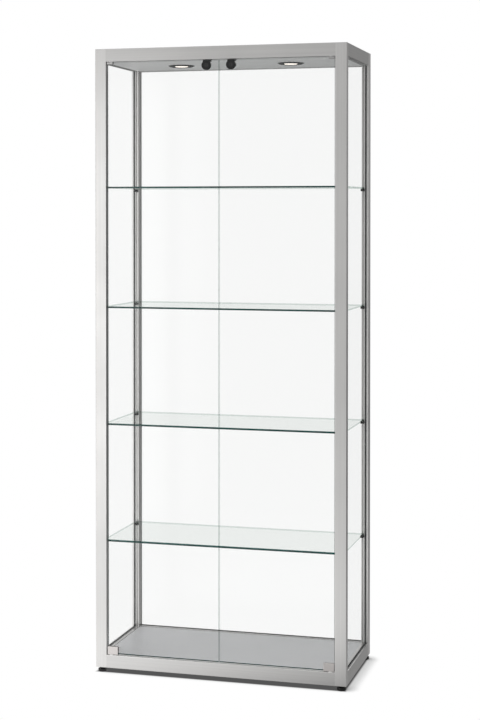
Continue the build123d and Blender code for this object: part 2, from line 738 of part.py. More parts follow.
DRIVER_X = 55.0
DRIVER_Y = (95.0, 137.0)
DRIVER_HEIGHT = 20.0
with BuildPart() as led_driver:
    with BuildSketch(Plane.XY.offset(CEILING_TOP)):
        rectangle((-DRIVER_X, DRIVER_X), DRIVER_Y)
        fillet(vertices(), 3)
    extrude(amount=DRIVER_HEIGHT)
    chamfer(led_driver.faces().sort_by(Axis.Z)[-1].edges(), 1)
save(led_driver.part, "led_driver")

# Leads from the driver's ends to the back of each lamp housing, clipped above the ceiling
LEAD_R = 2.0
LEAD_Z = CEILING_TOP + 8.0
LEAD_RUN = 45.0
LEAD_SET_BACK = 30.0
LEAD_BEND_R = 22.0
with BuildPart() as spotlight_leads:
    for side in SIDES.values():
        driver_mid = (DRIVER_Y[0] + DRIVER_Y[1]) / 2
        with BuildLine() as route:
            FilletPolyline(
                (side * DRIVER_X, driver_mid, LEAD_Z),
                (side * (DRIVER_X + LEAD_RUN), driver_mid, LEAD_Z),
                (side * SPOT_X, driver_mid - LEAD_SET_BACK, LEAD_Z),
                (side * SPOT_X, SPOT_Y + HOUSING_R, LEAD_Z),
                radius=LEAD_BEND_R,
            )
        with BuildSketch(Plane(origin=route.line @ 0, z_dir=route.line % 0)):
            Circle(LEAD_R)
        sweep(path=route.line)
save(spotlight_leads.part, "spotlight_leads")

# ---------------------------------------------------------------- door pivots and strikes

BUSH_FLANGE = 1.2
BUSH_FLANGE_R = 6.5
BUSH_DEPTH = 10.0
with BuildPart() as pivot_bushings:
    for side in SIDES.values():
        for edge, into in ((RAIL_TOP, -1), (CEILING, 1)):
            plane = Plane(origin=(side * PIVOT_X, DOOR_Y, edge), z_dir=(0, 0, into))
            with BuildSketch(plane):
                Circle(BUSH_R)
            extrude(amount=BUSH_DEPTH)
            with BuildSketch(plane):
                Circle(BUSH_FLANGE_R)
            extrude(amount=-BUSH_FLANGE)
            with BuildSketch(plane.offset(-BUSH_FLANGE)):
                Circle(BUSH_BORE_R)
            extrude(amount=BUSH_DEPTH + BUSH_FLANGE, mode=Mode.SUBTRACT)
save(pivot_bushings.part, "pivot_bushings")

STRIKE_Y = (-178.2, -176.7)
STRIKE_REAR = -167.0
STRIKE_WIDTH = 28.0
STRIKE_LOW = 1903.2
with BuildPart() as lock_strikes:
    for side in SIDES.values():
        plane = Plane(origin=(side * LOCK_X, 0, 0), x_dir=(0, 1, 0), z_dir=(1, 0, 0))
        with BuildSketch(plane):
            rectangle(STRIKE_Y, (STRIKE_LOW, CEILING))
            rectangle((STRIKE_Y[0], STRIKE_REAR), (CEILING - STRIKE_SHEET, CEILING))
        extrude(amount=STRIKE_WIDTH / 2, both=True)
        with BuildSketch(Plane(origin=(side * LOCK_X, STRIKE_SCREW_Y, CEILING - STRIKE_SHEET))):
            Circle(FLUSH_HEAD_R)
        extrude(amount=STRIKE_SHEET, taper=45, mode=Mode.SUBTRACT)
save(lock_strikes.part, "lock_strikes")

# ---------------------------------------------------------------- doors

DOOR_FRONT = DOOR_Y - DOOR_PANE / 2
DOOR_BACK = DOOR_Y + DOOR_PANE / 2
LOCK_BODY_FRONT = -HALF_D
LOCK_NUT = 3.0
LOCK_NUT_R = 12.0
BARREL_BACK = DOOR_BACK + LOCK_NUT
CAM_SHEET = 2.0
CAM_REACH = 13.6
CAM_WIDTH = 10.0
NECK_TOP = 1908.0
NECK_HALF = 8.5
NECK_ROOT_X = 12.3
NECK_ROOT_Z = 8.55
PLUG_CLEARANCE = 0.05
PLUG_RECESS = 0.8
PLUG_PROUD = 0.3
SPIGOT_R = 2.5
KEY_SLOT = (2.0, 8.0)
KEY_SLOT_DEPTH = 9.0
PIN_LENGTH = 9.0
RIVET_R = 1.5


def lock_plane(side, y):
    """Plane across a lock's axis at the given depth, Z pointing to the front."""
    return Plane(origin=(side * LOCK_X, y, LOCK_Z), x_dir=(1, 0, 0), z_dir=(0, -1, 0))


def make_door_glass(name, side):
    """A door pane with its lock hole."""
    with BuildPart() as pane:
        with BuildSketch(Plane(origin=(0, DOOR_BACK, 0), x_dir=(1, 0, 0), z_dir=(0, -1, 0))):
            rectangle(across(side, DOOR_GAP / 2, DOOR_OUTER), (DOOR_BOTTOM, DOOR_TOP))
            with Locations((side * LOCK_X, LOCK_Z)):
                Circle(LOCK_HOLE_R, mode=Mode.SUBTRACT)
        extrude(amount=DOOR_PANE)
    save(pane.part, f"door_glass_{name}")


def make_hinge_shoes(name, side):
    """Lower and upper metal shoes that clamp the glass corner on the pivot line."""
    outer_y = (DOOR_FRONT - SHOE_PLATE, DOOR_BACK + SHOE_PLATE)
    low = (DOOR_BOTTOM - SHOE_BASE, DOOR_BOTTOM - SHOE_BASE + SHOE_HEIGHT)
    high = (DOOR_TOP + SHOE_BASE - UPPER_SHOE_HEIGHT, DOOR_TOP + SHOE_BASE)
    with BuildPart() as shoes:
        for heights, width in ((low, SHOE_WIDTH), (high, UPPER_SHOE_WIDTH)):
            start_x = across(side, DOOR_OUTER, DOOR_OUTER - width)[0]
            with BuildSketch(Plane(origin=(start_x, 0, 0), x_dir=(0, 1, 0), z_dir=(1, 0, 0))):
                rectangle(outer_y, heights)
                cut_rectangle((DOOR_FRONT, DOOR_BACK), (DOOR_BOTTOM, DOOR_TOP))
            extrude(amount=width)
        fillet(shoes.edges().filter_by(Axis.X).group_by(Axis.Y)[0].sort_by(Axis.Z)[1:3], 0.6)
        for base in (low[0], high[1] - SHOE_BASE):
            with BuildSketch(Plane(origin=(side * PIVOT_X, DOOR_Y, base))):
                Circle(RIVET_R)
            extrude(amount=SHOE_BASE, mode=Mode.SUBTRACT)
    save(shoes.part, f"door_hinge_shoes_{name}")


def make_pivot_pins(name, side):
    """Pivot pins riveted through the shoes' bases."""
    with BuildPart() as pins:
        for face, away in ((DOOR_BOTTOM - SHOE_BASE, -1), (DOOR_TOP + SHOE_BASE, 1)):
            plane = Plane(origin=(side * PIVOT_X, DOOR_Y, face), z_dir=(0, 0, away))
            with BuildSketch(plane):
                Circle(PIVOT_R)
            extrude(amount=PIN_LENGTH)
            with BuildSketch(plane):
                Circle(RIVET_R)
            extrude(amount=-SHOE_BASE)
        ends = pins.faces().filter_by(Axis.Z).sort_by(Axis.Z)
        chamfer(ends[0].edges(), 0.5)
        chamfer(ends[-1].edges(), 0.5)
    save(pins.part, f"door_pivot_pins_{name}")


def make_lock_body(name, side):
    """Teardrop lock body: disc and neck in front of the glass, barrel through it."""
    with BuildPart() as body:
        with BuildSketch(lock_plane(side, DOOR_FRONT)):
            Circle(LOCK_DISC_R)
            with BuildLine():
                Polyline(
                    (-NECK_ROOT_X, NECK_ROOT_Z),
                    (-NECK_HALF, NECK_TOP - LOCK_Z),
                    (NECK_HALF, NECK_TOP - LOCK_Z),
                    (NECK_ROOT_X, NECK_ROOT_Z),
                    close=True,
                )
            make_face()
        extrude(amount=DOOR_FRONT - LOCK_BODY_FRONT)
        fillet(body.faces().sort_by(Axis.Y)[0].edges(), 1.2)
        with BuildSketch(lock_plane(side, BARREL_BACK)):
            Circle(LOCK_BARREL_R)
        extrude(amount=BARREL_BACK - DOOR_FRONT)
        with BuildSketch(lock_plane(side, BARREL_BACK)):
            Circle(PLUG_R + PLUG_CLEARANCE)
        extrude(amount=BARREL_BACK - LOCK_BODY_FRONT, mode=Mode.SUBTRACT)
    save(body.part, f"lock_body_{name}")


def make_lock_nut(name, side):
    """Hexagon nut that clamps the lock to the glass from behind."""
    with BuildPart() as nut:
        with BuildSketch(lock_plane(side, BARREL_BACK)):
            RegularPolygon(LOCK_NUT_R, 6)
            Circle(LOCK_BARREL_R, mode=Mode.SUBTRACT)
        extrude(amount=LOCK_NUT)
    save(nut.part, f"lock_nut_{name}")


def make_lock_plug(name, side):
    """Turning plug with its key slot, and the spigot that carries the cam."""
    front = LOCK_BODY_FRONT + PLUG_RECESS
    back = BARREL_BACK + PLUG_PROUD
    with BuildPart() as plug:
        with BuildSketch(lock_plane(side, back)):
            Circle(PLUG_R)
        extrude(amount=back - front)
        with BuildSketch(lock_plane(side, back)):
            Circle(SPIGOT_R)
        extrude(amount=-CAM_SHEET)
        with BuildSketch(lock_plane(side, front)):
            Rectangle(*KEY_SLOT)
        extrude(amount=-KEY_SLOT_DEPTH, mode=Mode.SUBTRACT)
    save(plug.part, f"lock_plug_{name}")


def make_lock_cam(name, side):
    """Flat cam on the plug's spigot, lying outward when unlocked."""
    back = BARREL_BACK + PLUG_PROUD + CAM_SHEET
    with BuildPart() as cam:
        with BuildSketch(lock_plane(side, back)):
            rectangle(across(side, 0, CAM_REACH), (-CAM_WIDTH / 2, CAM_WIDTH / 2))
            Circle(CAM_WIDTH / 2)
            Circle(SPIGOT_R, mode=Mode.SUBTRACT)
        extrude(amount=CAM_SHEET)
        fillet(cam.edges().filter_by(Axis.Y).group_by(Axis.X)[0 if side < 0 else -1], 2)
    save(cam.part, f"lock_cam_{name}")


for name, side in SIDES.items():
    make_door_glass(name, side)
    make_hinge_shoes(name, side)
    make_pivot_pins(name, side)
    make_lock_body(name, side)
    make_lock_nut(name, side)
    make_lock_plug(name, side)
    make_lock_cam(name, side)

# ---------------------------------------------------------------- shelves

TONGUE = 3.4
TONGUE_DEPTH = 4.5
TONGUE_INSET = 1.0
PAD_START = 6.5
PAD_END = 0.5
PAD_INSET = 1.0
for index, shelf_z in enumerate(SHELF_Z, start=1):
    with BuildPart() as shelf:
        with BuildSketch(Plane.XY.offset(shelf_z - SHELF_THICKNESS / 2)):
            rectangle((-SHELF_HALF_W, SHELF_HALF_W), (SHELF_FRONT, SHELF_REAR))
            fillet(vertices(), 1.5)
        extrude(amount=SHELF_THICKNESS)
        chamfer(shelf.edges().group_by(Axis.Z)[0], 0.5)
        chamfer(shelf.edges().group_by(Axis.Z)[-1], 0.5)
    save(shelf.part, f"shelf_{index}")

    under = shelf_z - SHELF_THICKNESS / 2
    with BuildPart() as supports:
        for side in SIDES.values():
            for post_y, inward in ((INNER_Y_FRONT, 1), (REAR_POST_FRONT, -1)):
                plane = Plane(
                    origin=(side * SUPPORT_X, post_y, under - PAD_THICKNESS),
                    x_dir=(0, inward, 0),
                    z_dir=(inward, 0, 0),
                )
                with BuildSketch(plane):
                    rectangle((SUPPORT_GAP, SUPPORT_GAP + SUPPORT_LENGTH), (-SUPPORT_HEIGHT, 0))
                    chamfer(vertices().group_by(Axis.Z)[0], 2)
                extrude(amount=SUPPORT_WIDTH / 2, both=True)
                slot_plane = plane.offset(inward * (side * (HALF_W - SLOT_CENTRE - SUPPORT_X)))
                with BuildSketch(slot_plane):
                    rectangle((-TONGUE_DEPTH, SUPPORT_GAP), (TONGUE_INSET - SUPPORT_HEIGHT, -TONGUE_INSET))
                extrude(amount=TONGUE / 2, both=True)
                with BuildSketch(plane):
                    rectangle(
                        (SUPPORT_GAP + PAD_START, SUPPORT_GAP + SUPPORT_LENGTH - PAD_END),
                        (0, PAD_THICKNESS),
                    )
                extrude(amount=SUPPORT_WIDTH / 2 - PAD_INSET, both=True)
    save(supports.part, f"shelf_{index}_supports")

# ---------------------------------------------------------------- feet

for name, side in SIDES.items():
    for row, (foot_x, foot_y) in (("front", FOOT_FRONT), ("rear", FOOT_REAR)):
        with BuildPart() as foot:
            with BuildSketch():
                with Locations((side * foot_x, foot_y)):
                    Circle(FOOT_PAD_R)
            extrude(amount=FOOT_PAD_HEIGHT)
            fillet(foot.edges().group_by(Axis.Z)[-1], 2)
            chamfer(foot.edges().group_by(Axis.Z)[0], 1)
            with BuildSketch(Plane.XY.offset(FOOT_PAD_HEIGHT)):
                with Locations((side * foot_x, foot_y)):
                    RegularPolygon(FOOT_HEX_R, 6)
            extrude(amount=FRAME_BOTTOM - FOOT_HEX_GAP - FOOT_PAD_HEIGHT)
            with BuildSketch(Plane.XY.offset(FOOT_PAD_HEIGHT)):
                with Locations((side * foot_x, foot_y)):
                    Circle(STEM_R)
            extrude(amount=STEM_TOP - FOOT_PAD_HEIGHT)
            chamfer(foot.faces().sort_by(Axis.Z)[-1].edges(), 0.8)
        save(foot.part, f"foot_{row}_{name}")
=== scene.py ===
"""Looks of the glass display showcase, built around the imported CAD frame. Metres, row frame."""

import math

import bmesh
import bpy
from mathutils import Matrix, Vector


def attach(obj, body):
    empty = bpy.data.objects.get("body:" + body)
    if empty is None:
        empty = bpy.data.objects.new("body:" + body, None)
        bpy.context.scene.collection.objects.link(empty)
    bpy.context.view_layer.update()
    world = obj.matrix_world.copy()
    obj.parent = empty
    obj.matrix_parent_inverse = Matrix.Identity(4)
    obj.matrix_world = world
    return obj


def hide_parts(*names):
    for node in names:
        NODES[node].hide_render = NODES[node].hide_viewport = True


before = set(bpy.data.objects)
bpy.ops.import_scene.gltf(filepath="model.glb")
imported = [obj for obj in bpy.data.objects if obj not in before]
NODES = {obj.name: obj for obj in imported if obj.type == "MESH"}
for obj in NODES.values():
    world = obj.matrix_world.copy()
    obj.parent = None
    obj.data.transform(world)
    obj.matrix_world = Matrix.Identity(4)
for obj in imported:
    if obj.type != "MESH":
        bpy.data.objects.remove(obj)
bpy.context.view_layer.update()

# ---------------------------------------------------------------- node helpers


class Shader:
    """A material or world being built: adds nodes, sets their inputs and links them."""

    def __init__(self, name, world=False):
        self.data = bpy.data.worlds.new(name) if world else bpy.data.materials.new(name)
        self.data.use_nodes = True
        self.tree = self.data.node_tree
        self.tree.nodes.clear()
        kind = "ShaderNodeOutputWorld" if world else "ShaderNodeOutputMaterial"
        self.output = self.tree.nodes.new(kind)

    def add(self, kind, settings=None, **inputs):
        """A new node. Inputs are named with underscores for spaces, or i0, i1 by number."""
        node = self.tree.nodes.new("ShaderNode" + kind)
        for key, value in (settings or {}).items():
            setattr(node, key, value)
        for key, value in inputs.items():
            number = key[1:]
            socket = node.inputs[int(number) if number.isdigit() else key.replace("_", " ")]
            if isinstance(value, bpy.types.NodeSocket):
                self.tree.links.new(value, socket)
            else:
                socket.default_value = value
        return node

    def finish(self, socket):
        """Connects the surface and returns the material or world."""
        self.tree.links.new(socket, self.output.inputs["Surface"])
        return self.data

    def place(self, scale=(1, 1, 1)):
        """The object's own coordinates in metres, stretched by scale."""
        coords = self.add("TexCoord").outputs["Object"]
        return self.add("Mapping", Vector=coords, Scale=scale).outputs[0]

    def along(self, axis):
        """The place along one axis of the object, in metres."""
        return self.add("SeparateXYZ", Vector=self.place()).outputs[axis]

    def noise(self, vector, scale, detail=3.0, rough=0.5):
        """Grey noise from 0 to 1."""
        node = self.add("TexNoise", Vector=vector, Scale=scale, Detail=detail, Roughness=rough)
        return node.outputs["Fac"]

    def ramp(self, value, low, high, start=0.3, end=0.7):
        """value between start and end mapped to low and high."""
        return self.add("MapRange", i0=value, i1=start, i2=end, i3=low, i4=high).outputs[0]

    def compute(self, operation, *values):
        """One step of arithmetic on numbers or sockets."""
        inputs = {f"i{number}": value for number, value in enumerate(values)}
        return self.add("Math", {"operation": operation}, **inputs).outputs[0]

    def dot(self, vector, direction):
        """How far a vector points along a direction."""
        node = self.add("VectorMath", {"operation": "DOT_PRODUCT"}, i0=vector, i1=direction)
        return node.outputs["Value"]

    def blend(self, value, a, b):
        """A colour between a and b."""
        return self.add("Mix", {"data_type": "RGBA"}, i0=value, i6=(*a, 1), i7=(*b, 1)).outputs[2]

    def darken(self, amount, colour, by):
        """A colour multiplied by a grey value, as far as amount says."""
        settings = {"data_type": "RGBA", "blend_type": "MULTIPLY"}
        return self.add("Mix", settings, i0=amount, i6=colour, i7=by).outputs[2]

    def bump(self, height, distance, strength=1.0):
        """A bumped normal; distance is the height of the relief in metres."""
        return self.add("Bump", Height=height, Distance=distance, Strength=strength).outputs[0]


def grey(value):
    """A neutral colour."""
    return (value, value, value)


def scaled(colour, factor):
    """A colour made lighter or darker, kept within 1."""
    return tuple(min(1.0, c * factor) for c in colour)


# ---------------------------------------------------------------- materials

ANODISED = (1.0, 0.99, 0.975)
BRUSH_ACROSS = 2600.0
BRUSH_ALONG = 14.0
BAND_ACROSS = 260.0
BAND_ALONG = 1.2
# How far the painted corner shade on the aluminium reaches, in metres
CORNER_SHADE_REACH = 0.009
POLISH_SCALE = (60, 2200, 2200)

# Colour of the dark band painted on a face near its edge: the ground edge seen through the glass, and on
# the doors painted shade
EDGE_AND_SHADE_BAND = (0.02, 0.14, 0.13)
EDGE_BLUR = 0.0005
MIRROR_TINT = (0.97, 1.0, 0.99, 1)
MIRROR_ROUGHNESS = 0.16
GRAZING_POWER = 5.0

# Heights between which the painted tone changes: glazing rubber at the bottom and top rails (painted shade
# below, painted light above), hinge metal (lower fittings painted lighter)
RUBBER_LOW = (0.056, 0.064)
RUBBER_HIGH = (1.900, 1.908)
HINGE_HEIGHTS = (0.5, 1.5)


def brushed_aluminium(name, along, shade):
    """Satin anodised aluminium brushed along one axis (0, 1 or 2), with painted shade darkening its
    corners, grooves and joints.
    """
    s = Shader(name)
    fine = [BRUSH_ACROSS] * 3
    fine[along] = BRUSH_ALONG
    broad = [BAND_ACROSS] * 3
    broad[along] = BAND_ALONG
    streak = s.noise(s.place(fine), 1.0, 2.0)
    band = s.noise(s.place(broad), 1.0, 3.0)
    cloud = s.noise(s.place(), 6.0, 2.0)
    mixed = s.compute("MULTIPLY_ADD", streak, 0.35, band)
    low, high = (tuple(c * shade * k for c in ANODISED) for k in (0.93, 1.05))
    colour = s.blend(s.ramp(mixed, 0, 1, 0.35, 1.0), low, high)
    rough = s.ramp(s.compute("ADD", streak, cloud), 0.34, 0.44, 0.7, 1.3)
    # Painted shade: the colour is darkened where nearby surfaces close in, in corners, grooves and joints
    hollow = s.add("AmbientOcclusion", {"samples": 4}, Distance=CORNER_SHADE_REACH).outputs["AO"]
    corner_shaded = s.darken(1.0, colour, s.ramp(hollow, 0.6, 1.0, 0.02, 0.35))
    shader = s.add(
        "BsdfPrincipled", Base_Color=corner_shaded, Metallic=1.0, Roughness=rough,
        Normal=s.bump(streak, 0.00002, 0.35),
    )
    return s.finish(shader.outputs[0])


def glass_face(name, tint, head_on=0.012, at_grazing=0.06, edge=None):
    """The polished face of a pane: clear, lightly tinted, mirroring more at a grazing angle.

    With edge, an axis and a place on it, the face below that place is painted dark: the ground edge seen
    through the face, and on the doors painted shade in the gap at the bottom rail.
    """
    s = Shader(name)
    colour = (*tint, 1)
    if edge:
        axis, limit = edge
        # Dark band painted on the face below the limit: the edge seen through the glass, and on the doors
        # painted shade
        past_edge = s.ramp(s.along(axis), 0, 1, limit - EDGE_BLUR, limit)
        colour = s.blend(past_edge, EDGE_AND_SHADE_BAND, tint)
    clear = s.add("BsdfTransparent", Color=colour)
    mirror = s.add("BsdfGlossy", Color=MIRROR_TINT, Roughness=MIRROR_ROUGHNESS)
    facing = s.add("LayerWeight", Blend=0.5).outputs["Facing"]
    grazing = s.compute("POWER", facing, GRAZING_POWER)
    share = s.compute("MULTIPLY_ADD", grazing, at_grazing, head_on)
    mix = s.add("MixShader", Fac=share, i1=clear.outputs[0], i2=mirror.outputs[0])
    return s.finish(mix.outputs[0])


def glass_edge(name, dark, light):
    """The ground and polished edge of float glass, deep green with brighter streaks."""
    s = Shader(name)
    streak = s.noise(s.place((9, 9, 9)), 1.0, 4.0)
    colour = s.blend(s.ramp(streak, 0, 1), dark, light)
    shader = s.add("BsdfPrincipled", Base_Color=colour, Roughness=0.2, IOR=1.5, Specular_IOR_Level=0.2)
    return s.finish(shader.outputs[0])


def moulded(name, colour, rough=0.45, grain=900.0, relief=0.00004, spread=0.12, specular=0.5):
    """Moulded plastic or rubber with a fine grain."""
    s = Shader(name)
    texture = s.noise(s.place(), grain, 3.0)
    cloud = s.noise(s.place(), grain * 0.04, 2.0)
    base = s.blend(s.ramp(cloud, 0, 1), scaled(colour, 1 - spread), scaled(colour, 1 + spread))
    shader = s.add(
        "BsdfPrincipled", Base_Color=base, Roughness=s.ramp(texture, rough - 0.06, rough + 0.08),
        Normal=s.bump(texture, relief, 0.5), Specular_IOR_Level=specular,
    )
    return s.finish(shader.outputs[0])


def glazing_seal(name, low, middle, high):
    """Matt glazing rubber with its tone painted by height: darkest along the bottom rails as painted
    shade, pale under the top rails as painted light.
    """
    s = Shader(name)
    texture = s.noise(s.place(), 700.0, 3.0)
    height = s.along(2)
    # Painted tone by height: dark along the bottom rails as painted shade, pale under the top rails as
    # painted light
    lower = s.blend(s.ramp(height, 0, 1, *RUBBER_LOW), low, middle)
    above = s.ramp(height, 0, 1, *RUBBER_HIGH)
    tone = s.add("Mix", {"data_type": "RGBA"}, i0=above, i6=lower, i7=(*high, 1)).outputs[2]
    worn = s.darken(0.2, tone, texture)
    shader = s.add(
        "BsdfPrincipled", Base_Color=worn, Roughness=s.ramp(texture, 0.55, 0.7),
        Normal=s.bump(texture, 0.00004, 0.5), Specular_IOR_Level=0.3,
    )
    return s.finish(shader.outputs[0])


def board(name, colour):
    """Melamine-faced board with a faint mottle and a soft sheen."""
    s = Shader(name)
    speck = s.noise(s.place(), 900.0, 3.0)
    mottle = s.noise(s.place(), 14.0, 3.0)
    both = s.compute("MULTIPLY_ADD", speck, 0.4, mottle)
    base = s.blend(s.ramp(both, 0, 1, 0.5, 0.9), scaled(colour, 0.965), scaled(colour, 1.02))
    shader = s.add(
        "BsdfPrincipled", Base_Color=base, Roughness=s.ramp(speck, 0.30, 0.40),
        Normal=s.bump(speck, 0.00003, 0.4), Specular_IOR_Level=0.5,
    )
    return s.finish(shader.outputs[0])


def plated(name, colour, rough=0.22, brushed=False):
    """Plated or polished metal with faint polishing marks."""
    s = Shader(name)
    if brushed:
        marks = s.noise(s.place(POLISH_SCALE), 1.0, 3.0)
    else:
        marks = s.noise(s.place(), 420.0, 3.0)
    base = s.blend(s.ramp(marks, 0, 1), scaled(colour, 0.92), scaled(colour, 1.05))
    shader = s.add(
        "BsdfPrincipled", Base_Color=base, Metallic=1.0,
        Roughness=s.ramp(marks, rough - 0.05, rough + 0.07), Normal=s.bump(marks, 0.00002, 0.3),
    )
    return s.finish(shader.outputs[0])


def hinge_metal(name, low_tone, high_tone):
    """Brushed nickel; the lower fittings are painted paler than the upper ones, painted light and shade
    standing in for how each is lit.
    """
    s = Shader(name)
    marks = s.noise(s.place(POLISH_SCALE), 1.0, 3.0)
    # Painted light and shade: the tone changes with height, paler low and darker high
    tone = s.blend(s.ramp(s.along(2), 0, 1, *HINGE_HEIGHTS), low_tone, high_tone)
    worn = s.darken(0.15, tone, marks)
    shader = s.add(
        "BsdfPrincipled", Base_Color=worn, Metallic=1.0,
        Roughness=s.ramp(marks, 0.30, 0.42), Normal=s.bump(marks, 0.00002, 0.3),
    )
    return s.finish(shader.outputs[0])


def lamp_glow(name, colour, strength):
    """Frosted lens in front of a lit lamp, with moulded rings."""
    s = Shader(name)
    rings = s.add(
        "TexWave", {"wave_type": "RINGS", "rings_direction": "SPHERICAL"}, Vector=s.place(), Scale=260.0,
    ).outputs["Fac"]
    relief = s.bump(rings, 0.0003, 0.6)
    base = s.add("BsdfPrincipled", Base_Color=(0.9, 0.86, 0.8, 1), Roughness=0.25, Normal=relief)
    tone = s.blend(s.ramp(rings, 0, 1, 0, 1), scaled(colour, 0.8), colour)
    glow = s.add("Emission", Color=tone, Strength=strength)
    return s.finish(s.add("AddShader", i0=base.outputs[0], i1=glow.outputs[0]).outputs[0])


# Metal brushed along X, Y and Z, each given its own tone: painted shade and painted light standing in for
# how the brushing direction catches the light
BRUSHED_SHADES = (0.58, 0.56, 0.64)
ALUMINIUM = [
    brushed_aluminium(f"aluminium_brushed_{axis}", i, BRUSHED_SHADES[i]) for i, axis in enumerate("xyz")
]
# Painted light: the rear posts are the same metal as the front posts, given a lighter tone to stand in for
# the light they catch
REAR_ALUMINIUM_PAINTED_LIGHTER = brushed_aluminium("aluminium_rear_posts_painted_lighter", 2, 0.74)

# The edge values: just above the doors' lower edge (Z), where the dark band is partly painted shade of the
# gap at the bottom rail, and just behind the shelves' front edge (Y)
CLEAR_TINT = (0.986, 0.987, 0.986)
PANE_CLEAR = glass_face("float_glass_clear", CLEAR_TINT)
DOOR_CLEAR = glass_face("door_glass_clear", CLEAR_TINT, edge=(2, 0.0597))
SHELF_CLEAR = glass_face("shelf_glass_clear", (0.947, 0.958, 0.951), edge=(1, -0.154))
PANE_EDGE = glass_edge("float_glass_edge", (0.008, 0.030, 0.027), (0.015, 0.055, 0.048))
SHELF_EDGE = glass_edge("shelf_glass_edge", (0.001, 0.026, 0.023), (0.004, 0.055, 0.048))
PALE_EDGE = glass_face("glass_pale_edge", (0.72, 0.77, 0.75))
MEETING_EDGE = glass_face("door_meeting_edge", (0.40, 0.46, 0.44))

RUBBER = moulded("black_rubber", grey(0.05), rough=0.6)
GASKET = glazing_seal("glazing_rubber", grey(0.10), grey(0.42), grey(0.62))
BOARD = board("grey_board", (0.375, 0.375, 0.385))
# Painted light: the ceiling panel is the same board as the floor panel, given a much paler tone to stand
# in for the light it would catch
CEILING_BOARD_PAINTED_LIGHTER = board("ceiling_board_painted_lighter", grey(0.90))
COVER = plated("cover_sheet_metal", grey(0.62), rough=0.4, brushed=True)
ZINC = plated("zinc_plating", (0.62, 0.62, 0.60), rough=0.32)
BLACK = moulded("black_plastic", grey(0.006), rough=0.4, specular=0.3)
ENAMEL = moulded("black_enamel", grey(0.004), rough=0.15, grain=1600.0, relief=0.00002)
NICKEL = plated("nickel_plating", (0.64, 0.63, 0.61), rough=0.2)
HINGE = hinge_metal("satin_nickel", (0.62, 0.59, 0.575), (0.50, 0.495, 0.49))
BEZEL = plated("lamp_bezel", grey(0.09), rough=0.2)
LOCK_PLUG = plated("lock_plug_metal", grey(0.09), rough=0.15)
STRIKE = plated("strike_metal", grey(0.28), rough=0.3)
CASTING = plated("cast_housing", grey(0.5), rough=0.5)
DRIVER = moulded("driver_case", grey(0.75), rough=0.4)
NYLON = moulded("white_nylon", grey(0.78), rough=0.5)
SHEATH = moulded("lead_sheath", grey(0.03), rough=0.5)
LAMP = lamp_glow("lamp_lens", (1.0, 0.92, 0.83), 1.05)

BRUSHED_ALONG = {"front_post": 2, "rail_front": 0, "rail_rear": 0, "rail_left": 1, "rail_right": 1}
PLAIN_NODES = {
    "rear_post": REAR_ALUMINIUM_PAINTED_LIGHTER,
    "post_caps": ALUMINIUM[0],
    "rail_end_plugs": CASTING,
    "corner_bolts": ZINC,
    "foot_inserts": ZINC,
    "glazing_gaskets": GASKET,
    "floor_panel": BOARD,
    "ceiling_panel": CEILING_BOARD_PAINTED_LIGHTER,
    "top_cover": COVER,
    "panel_brackets": ZINC,
    "panel_screws": ZINC,
    "spotlight_bezels": BEZEL,
    "spotlight_lenses": LAMP,
    "spotlight_housings": CASTING,
    "spotlight_springs": NICKEL,
    "led_driver": DRIVER,
    "spotlight_leads": SHEATH,
    "cable_grommet": RUBBER,
    "pivot_bushings": NYLON,
    "lock_strikes": STRIKE,
    "door_hinge_shoes": HINGE,
    "door_pivot_pins": ZINC,
    "lock_body": ENAMEL,
    "lock_nut": NICKEL,
    "lock_plug": LOCK_PLUG,
    "lock_cam": NICKEL,
    "foot_": BLACK,
}


def material_for(node):
    """The material of a CAD node, by its name."""
    for part, axis in BRUSHED_ALONG.items():
        if part in node:
            return ALUMINIUM[axis]
    if node.endswith("supports"):
        return BLACK
    for part, material in PLAIN_NODES.items():
        if node.startswith(part):
            return material
    raise KeyError(f"no material for {node}")


def dress(obj, material):
    """Gives a whole object one material."""
    obj.data.materials.clear()
    obj.data.materials.append(material)


# ---------------------------------------------------------------- glass panes

# The body each pane rides on, and the axis across its thickness
PANES = {
    "side_glass_left": ("frame", 0),
    "side_glass_right": ("frame", 0),
    "rear_glass": ("frame", 1),
    "door_glass_left": ("door_left", 1),
    "door_glass_right": ("door_right", 1),
    "shelf_1": ("shelf_1", 2),
    "shelf_2": ("shelf_2", 2),
    "shelf_3": ("shelf_3", 2),
    "shelf_4": ("shelf_4", 2),
}
FACE_SLOT, DARK_SLOT, PALE_SLOT, MEETING_SLOT = range(4)
SQUARE_ON = 0.95
MEETING_REACH = 0.01
WELD_DISTANCE = 1e-6


def pane_slot(face, thin, is_shelf):
    """The material slot of one face of a pane; a shelf's edges are pale except the front one."""
    if abs(face.normal[thin]) > SQUARE_ON:
        return FACE_SLOT
    if is_shelf and face.normal.y > -0.5:
        return PALE_SLOT
    if abs(face.calc_center_median().x) < MEETING_REACH and abs(face.normal.x) > SQUARE_ON:
        return MEETING_SLOT
    return DARK_SLOT


def pane_clear(node):
    """The glass of a pane's faces."""
    if node.startswith("shelf"):
        return SHELF_CLEAR
    if node.startswith("door"):
        return DOOR_CLEAR
    return PANE_CLEAR


